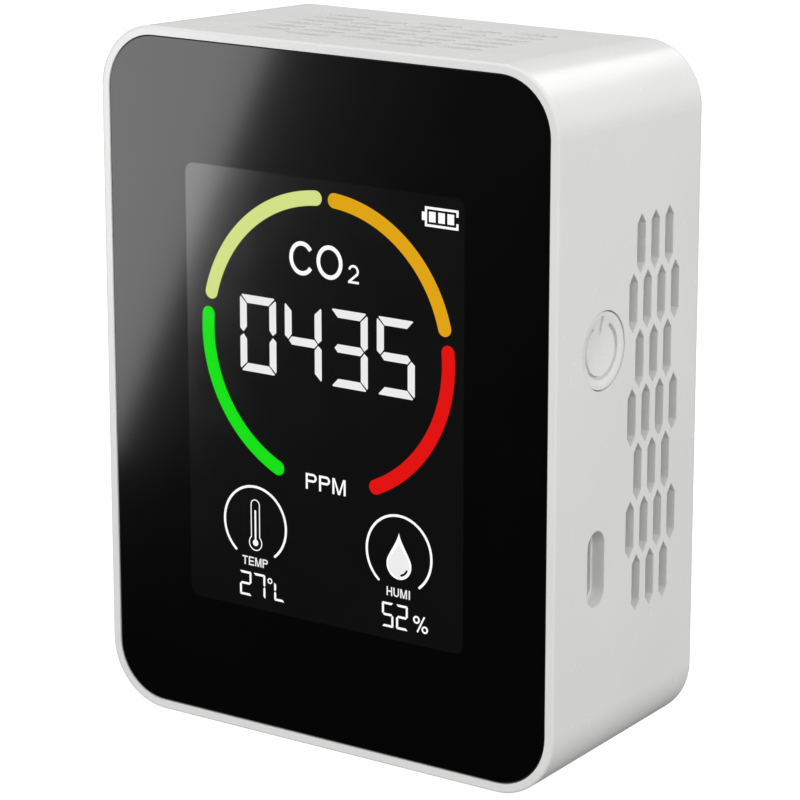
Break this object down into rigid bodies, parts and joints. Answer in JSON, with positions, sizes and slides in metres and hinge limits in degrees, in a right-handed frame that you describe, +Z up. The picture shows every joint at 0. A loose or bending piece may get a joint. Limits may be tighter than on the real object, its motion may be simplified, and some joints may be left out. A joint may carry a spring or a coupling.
{
  "type": "air quality monitor",
  "caption": "Free-standing desk monitor box with a black display front, vented sides and top, a side power button and a USB-C inlet.",
  "frame": {"origin": "middle of the base, on the surface that the monitor stands on", "axes": "+Z up, the display faces -Y, the power button and the USB-C inlet are on the +X side"},
  "size_m": [0.07, 0.0344, 0.0912],
  "materials": {
    "case_white": "satin moulded, very fine texture",
    "button_white": "satin moulded",
    "panel_black": "polished acrylic, black printed on the back",
    "frame_black": "satin moulded",
    "tape": "thin foam tape",
    "polariser": "smooth film",
    "lcd_glass": "polished",
    "colour_film": "printed film",
    "diffuser": "frosted sheet",
    "light_guide": "polished acrylic",
    "reflector": "white film",
    "tray_white": "satin moulded",
    "strip_white": "solder mask",
    "led": "phosphor in clear resin",
    "board_green": "green solder mask over glass epoxy",
    "chip_black": "moulded epoxy",
    "ferrite": "pressed ferrite",
    "passive_ceramic": "fired ceramic",
    "tinned_metal": "tin plated",
    "shell_steel": "nickel plated",
    "screw_steel": "zinc plated",
    "contact_gold": "gold flash",
    "chamber_gold": "gold flash over moulded plastic",
    "membrane": "fibre filter",
    "plunger": "moulded",
    "connector_white": "moulded nylon",
    "lead_red": "insulation",
    "lead_black": "insulation",
    "cell_foil": "laminated foil pouch",
    "display_bright": "lit display mark",
    "display_white": "lit display mark",
    "display_lime": "lit display mark",
    "display_green": "lit display mark",
    "display_orange": "lit display mark",
    "display_red": "lit display mark"
  },
  "bodies": {
    "case": {"housing": "case_white", "window_panel": "panel_black", "panel_tape": "tape", "front_frame": "frame_black", "lcd_front_polariser": "polariser", "lcd_front_glass": "lcd_glass", "lcd_rear_glass": "lcd_glass", "lcd_rear_polariser": "polariser", "colour_film": "colour_film", "diffuser_sheet": "diffuser", "light_guide": "light_guide", "reflector_sheet": "reflector", "backlight_tray": "tray_white", "led_strip": "strip_white", "backlight_leds": "led", "lcd_pins": "tinned_metal", "main_board": "board_green", "microcontroller": "chip_black", "charger_chip": "chip_black", "power_inductor": "ferrite", "timing_crystal": "tinned_metal", "board_passives": "passive_ceramic", "buzzer": "chip_black", "climate_sensor": "chip_black", "usb_shell": "shell_steel", "usb_tongue": "chip_black", "usb_contacts": "contact_gold", "switch_body": "frame_black", "switch_contact": "contact_gold", "battery_connector": "connector_white", "battery_plug": "connector_white", "battery_lead_red": "lead_red", "battery_lead_black": "lead_black", "battery_cell": "cell_foil", "battery_board": "board_green", "battery_tape": "tape", "sensor_header_pins": "contact_gold", "sensor_header_strips": "frame_black", "sensor_board": "board_green", "sensor_chamber": "chamber_gold", "sensor_membrane": "membrane", "case_screws": "screw_steel", "board_screws": "screw_steel"},
    "button": {"power_button": "button_white"},
    "plunger": {"switch_plunger": "plunger"}
  },
  "joints": [
    {"name": "power_button_press", "type": "slide", "parent": "case", "child": "button", "axis": [-1, 0, 0], "range_m": [0, 0.00035], "stiffness_N_per_m": 5000},
    {"name": "switch_plunger_slide", "type": "slide", "parent": "case", "child": "plunger", "axis": [-1, 0, 0], "range_m": [0, 0.00035]}
  ],
  "couplings": [
    {"joint": "switch_plunger_slide", "follows": "power_button_press", "ratio": 1}
  ]
}
